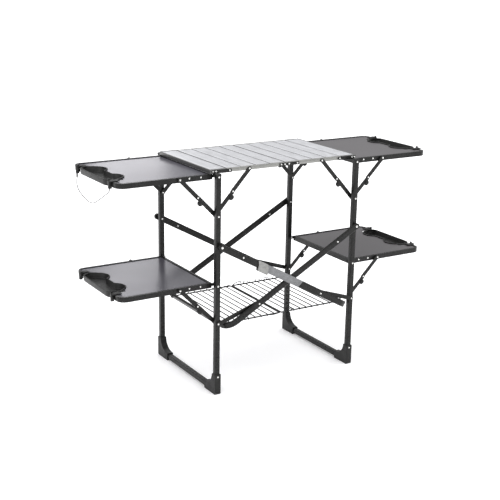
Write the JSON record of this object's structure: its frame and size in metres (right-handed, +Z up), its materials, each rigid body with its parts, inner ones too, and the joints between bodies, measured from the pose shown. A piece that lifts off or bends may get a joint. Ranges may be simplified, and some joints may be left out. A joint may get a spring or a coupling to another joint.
{
  "type": "camp kitchen table",
  "caption": "Folding camp kitchen table: slatted top on two leg frames, four fold-down side tables with cup trays, a crossed U-tube brace and a folding wire rack.",
  "frame": {"origin": "on the ground, under the middle of the table", "axes": "+X along the table's length, to the right of someone standing in front; +Y towards the back; +Z up"},
  "size_m": [1.328, 0.5026, 0.82],
  "materials": {
    "black_steel": "satin powder coat",
    "black_plastic": "fine moulded grain",
    "slat_aluminium": "satin anodised",
    "deck_sheet": "smooth satin grey coating",
    "black_wire": "satin powder coat",
    "strap_webbing": "woven webbing",
    "steel_wire": "bare steel wire"
  },
  "bodies": {
    "leg_frame_left": {"leg_left_front": "black_steel", "foot_left_front": "black_plastic", "leg_left_back": "black_steel", "foot_left_back": "black_plastic", "foot_bar_left": "black_steel", "end_slat_left": "slat_aluminium"},
    "top_left": {"top_half_left": "slat_aluminium"},
    "brace_left": {"brace_left": "black_steel", "strap": "strap_webbing"},
    "links_left": {"link_left_front": "black_steel", "link_left_back": "black_steel"},
    "rack_left": {"rack_left": "black_wire"},
    "top_struts_leg_left": {"top_strut_leg_left_front": "black_steel", "top_strut_leg_left_back": "black_steel"},
    "top_struts_rail_left": {"top_strut_rail_left_front": "black_steel", "top_strut_rail_left_back": "black_steel"},
    "table_upper_left": {"table_rim_upper_left": "black_steel", "table_deck_upper_left": "deck_sheet", "cup_tray_upper_left": "black_plastic", "wire_loop": "steel_wire"},
    "struts_leg_upper_left": {"strut_leg_upper_left_front": "black_steel", "strut_leg_upper_left_back": "black_steel"},
    "struts_table_upper_left": {"strut_table_upper_left_front": "black_steel", "strut_table_upper_left_back": "black_steel"},
    "table_lower_left": {"table_rim_lower_left": "black_steel", "table_deck_lower_left": "deck_sheet", "cup_tray_lower_left": "black_plastic"},
    "struts_leg_lower_left": {"strut_leg_lower_left_front": "black_steel", "strut_leg_lower_left_back": "black_steel"},
    "struts_table_lower_left": {"strut_table_lower_left_front": "black_steel", "strut_table_lower_left_back": "black_steel"},
    "leg_frame_right": {"leg_right_front": "black_steel", "foot_right_front": "black_plastic", "leg_right_back": "black_steel", "foot_right_back": "black_plastic", "foot_bar_right": "black_steel", "end_slat_right": "slat_aluminium"},
    "top_right": {"top_half_right": "slat_aluminium"},
    "brace_right": {"brace_right": "black_steel"},
    "links_right": {"link_right_front": "black_steel", "link_right_back": "black_steel"},
    "rack_right": {"rack_right": "black_wire"},
    "top_struts_leg_right": {"top_strut_leg_right_front": "black_steel", "top_strut_leg_right_back": "black_steel"},
    "top_struts_rail_right": {"top_strut_rail_right_front": "black_steel", "top_strut_rail_right_back": "black_steel"},
    "table_upper_right": {"table_rim_upper_right": "black_steel", "table_deck_upper_right": "deck_sheet", "cup_tray_upper_right": "black_plastic"},
    "struts_leg_upper_right": {"strut_leg_upper_right_front": "black_steel", "strut_leg_upper_right_back": "black_steel"},
    "struts_table_upper_right": {"strut_table_upper_right_front": "black_steel", "strut_table_upper_right_back": "black_steel"},
    "table_lower_right": {"table_rim_lower_right": "black_steel", "table_deck_lower_right": "deck_sheet", "cup_tray_lower_right": "black_plastic"},
    "struts_leg_lower_right": {"strut_leg_lower_right_front": "black_steel", "strut_leg_lower_right_back": "black_steel"},
    "struts_table_lower_right": {"strut_table_lower_right_front": "black_steel", "strut_table_lower_right_back": "black_steel"}
  },
  "joints": [
    {"name": "top_fold", "type": "hinge", "parent": "leg_frame_left", "child": "top_left", "pos_m": [-0.235, 0, 0.8135], "axis": [0, 1, 0], "range_deg": [0, 85]},
    {"name": "top_middle_hinge", "type": "hinge", "parent": "top_left", "child": "top_right", "pos_m": [0, 0, 0.8203], "axis": [0, 1, 0], "range_deg": [-170.05, 0]},
    {"name": "right_frame_hinge", "type": "hinge", "parent": "top_right", "child": "leg_frame_right", "pos_m": [0.235, 0, 0.8135], "axis": [0, 1, 0], "range_deg": [0, 85.05]},
    {"name": "brace_left_pivot", "type": "hinge", "parent": "leg_frame_left", "child": "brace_left", "pos_m": [-0.294, 0, 0.5565], "axis": [0, 1, 0], "range_deg": [0, 46.3]},
    {"name": "links_left_pivot", "type": "hinge", "parent": "leg_frame_left", "child": "links_left", "pos_m": [-0.294, 0, 0.27], "axis": [0, 1, 0], "range_deg": [0, 92.26]},
    {"name": "rack_left_hinge", "type": "hinge", "parent": "leg_frame_left", "child": "rack_left", "pos_m": [-0.262, 0, 0.25], "axis": [0, 1, 0], "range_deg": [-85.05, 0]},
    {"name": "top_struts_leg_left_pivot", "type": "hinge", "parent": "leg_frame_left", "child": "top_struts_leg_left", "pos_m": [-0.294, 0, 0.6605], "axis": [0, 1, 0], "range_deg": [-62.53, 0]},
    {"name": "top_struts_rail_left_pivot", "type": "hinge", "parent": "top_left", "child": "top_struts_rail_left", "pos_m": [-0.155, 0, 0.8125], "axis": [0, 1, 0], "range_deg": [-24.28, 0]},
    {"name": "table_upper_left_fold", "type": "hinge", "parent": "leg_frame_left", "child": "table_upper_left", "pos_m": [-0.294, 0, 0.7995], "axis": [0, -1, 0], "range_deg": [0, 90]},
    {"name": "struts_leg_upper_left_pivot", "type": "hinge", "parent": "leg_frame_left", "child": "struts_leg_upper_left", "pos_m": [-0.294, 0, 0.6605], "axis": [0, -1, 0], "range_deg": [-44.84, 0]},
    {"name": "struts_table_upper_left_pivot", "type": "hinge", "parent": "table_upper_left", "child": "struts_table_upper_left", "pos_m": [-0.432, 0, 0.7995], "axis": [0, -1, 0], "range_deg": [0, 45.26]},
    {"name": "table_lower_left_fold", "type": "hinge", "parent": "leg_frame_left", "child": "table_lower_left", "pos_m": [-0.294, 0, 0.409], "axis": [0, -1, 0], "range_deg": [0, 90]},
    {"name": "struts_leg_lower_left_pivot", "type": "hinge", "parent": "leg_frame_left", "child": "struts_leg_lower_left", "pos_m": [-0.294, 0, 0.27], "axis": [0, -1, 0], "range_deg": [-44.84, 0]},
    {"name": "struts_table_lower_left_pivot", "type": "hinge", "parent": "table_lower_left", "child": "struts_table_lower_left", "pos_m": [-0.432, 0, 0.409], "axis": [0, -1, 0], "range_deg": [0, 45.26]},
    {"name": "brace_right_pivot", "type": "hinge", "parent": "leg_frame_right", "child": "brace_right", "pos_m": [0.294, 0, 0.5565], "axis": [0, 1, 0], "range_deg": [-46.3, 0]},
    {"name": "links_right_pivot", "type": "hinge", "parent": "leg_frame_right", "child": "links_right", "pos_m": [0.294, 0, 0.27], "axis": [0, 1, 0], "range_deg": [-92.26, 0]},
    {"name": "rack_right_hinge", "type": "hinge", "parent": "leg_frame_right", "child": "rack_right", "pos_m": [0.262, 0, 0.25], "axis": [0, 1, 0], "range_deg": [0, 85.05]},
    {"name": "top_struts_leg_right_pivot", "type": "hinge", "parent": "leg_frame_right", "child": "top_struts_leg_right", "pos_m": [0.294, 0, 0.6605], "axis": [0, 1, 0], "range_deg": [0, 62.53]},
    {"name": "top_struts_rail_right_pivot", "type": "hinge", "parent": "top_right", "child": "top_struts_rail_right", "pos_m": [0.155, 0, 0.8125], "axis": [0, 1, 0], "range_deg": [0, 24.28]},
    {"name": "table_upper_right_fold", "type": "hinge", "parent": "leg_frame_right", "child": "table_upper_right", "pos_m": [0.294, 0, 0.7995], "axis": [0, 1, 0], "range_deg": [0, 90]},
    {"name": "struts_leg_upper_right_pivot", "type": "hinge", "parent": "leg_frame_right", "child": "struts_leg_upper_right", "pos_m": [0.294, 0, 0.6605], "axis": [0, 1, 0], "range_deg": [-44.84, 0]},
    {"name": "struts_table_upper_right_pivot", "type": "hinge", "parent": "table_upper_right", "child": "struts_table_upper_right", "pos_m": [0.432, 0, 0.7995], "axis": [0, 1, 0], "range_deg": [0, 45.26]},
    {"name": "table_lower_right_fold", "type": "hinge", "parent": "leg_frame_right", "child": "table_lower_right", "pos_m": [0.294, 0, 0.409], "axis": [0, 1, 0], "range_deg": [0, 90]},
    {"name": "struts_leg_lower_right_pivot", "type": "hinge", "parent": "leg_frame_right", "child": "struts_leg_lower_right", "pos_m": [0.294, 0, 0.27], "axis": [0, 1, 0], "range_deg": [-44.84, 0]},
    {"name": "struts_table_lower_right_pivot", "type": "hinge", "parent": "table_lower_right", "child": "struts_table_lower_right", "pos_m": [0.432, 0, 0.409], "axis": [0, 1, 0], "range_deg": [0, 45.26]}
  ],
  "couplings": [
    {"joint": "top_middle_hinge", "follows": "top_fold", "ratio": -2},
    {"joint": "right_frame_hinge", "follows": "top_fold", "ratio": 1},
    {"joint": "brace_left_pivot", "follows": "top_fold", "ratio": 0.54407},
    {"joint": "links_left_pivot", "follows": "top_fold", "ratio": 1.0848},
    {"joint": "rack_left_hinge", "follows": "top_fold", "ratio": -1},
    {"joint": "top_struts_leg_left_pivot", "follows": "top_fold", "ratio": -0.73504},
    {"joint": "top_struts_rail_left_pivot", "follows": "top_fold", "ratio": -0.28507},
    {"joint": "struts_leg_upper_left_pivot", "follows": "table_upper_left_fold", "ratio": -0.4977},
    {"joint": "struts_table_upper_left_pivot", "follows": "table_upper_left_fold", "ratio": 0.5023},
    {"joint": "struts_leg_lower_left_pivot", "follows": "table_lower_left_fold", "ratio": -0.4977},
    {"joint": "struts_table_lower_left_pivot", "follows": "table_lower_left_fold", "ratio": 0.5023},
    {"joint": "brace_right_pivot", "follows": "top_fold", "ratio": -0.54407},
    {"joint": "links_right_pivot", "follows": "top_fold", "ratio": -1.0848},
    {"joint": "rack_right_hinge", "follows": "top_fold", "ratio": 1},
    {"joint": "top_struts_leg_right_pivot", "follows": "top_fold", "ratio": 0.73504},
    {"joint": "top_struts_rail_right_pivot", "follows": "top_fold", "ratio": 0.28507},
    {"joint": "struts_leg_upper_right_pivot", "follows": "table_upper_right_fold", "ratio": -0.4977},
    {"joint": "struts_table_upper_right_pivot", "follows": "table_upper_right_fold", "ratio": 0.5023},
    {"joint": "struts_leg_lower_right_pivot", "follows": "table_lower_right_fold", "ratio": -0.4977},
    {"joint": "struts_table_lower_right_pivot", "follows": "table_lower_right_fold", "ratio": 0.5023}
  ]
}
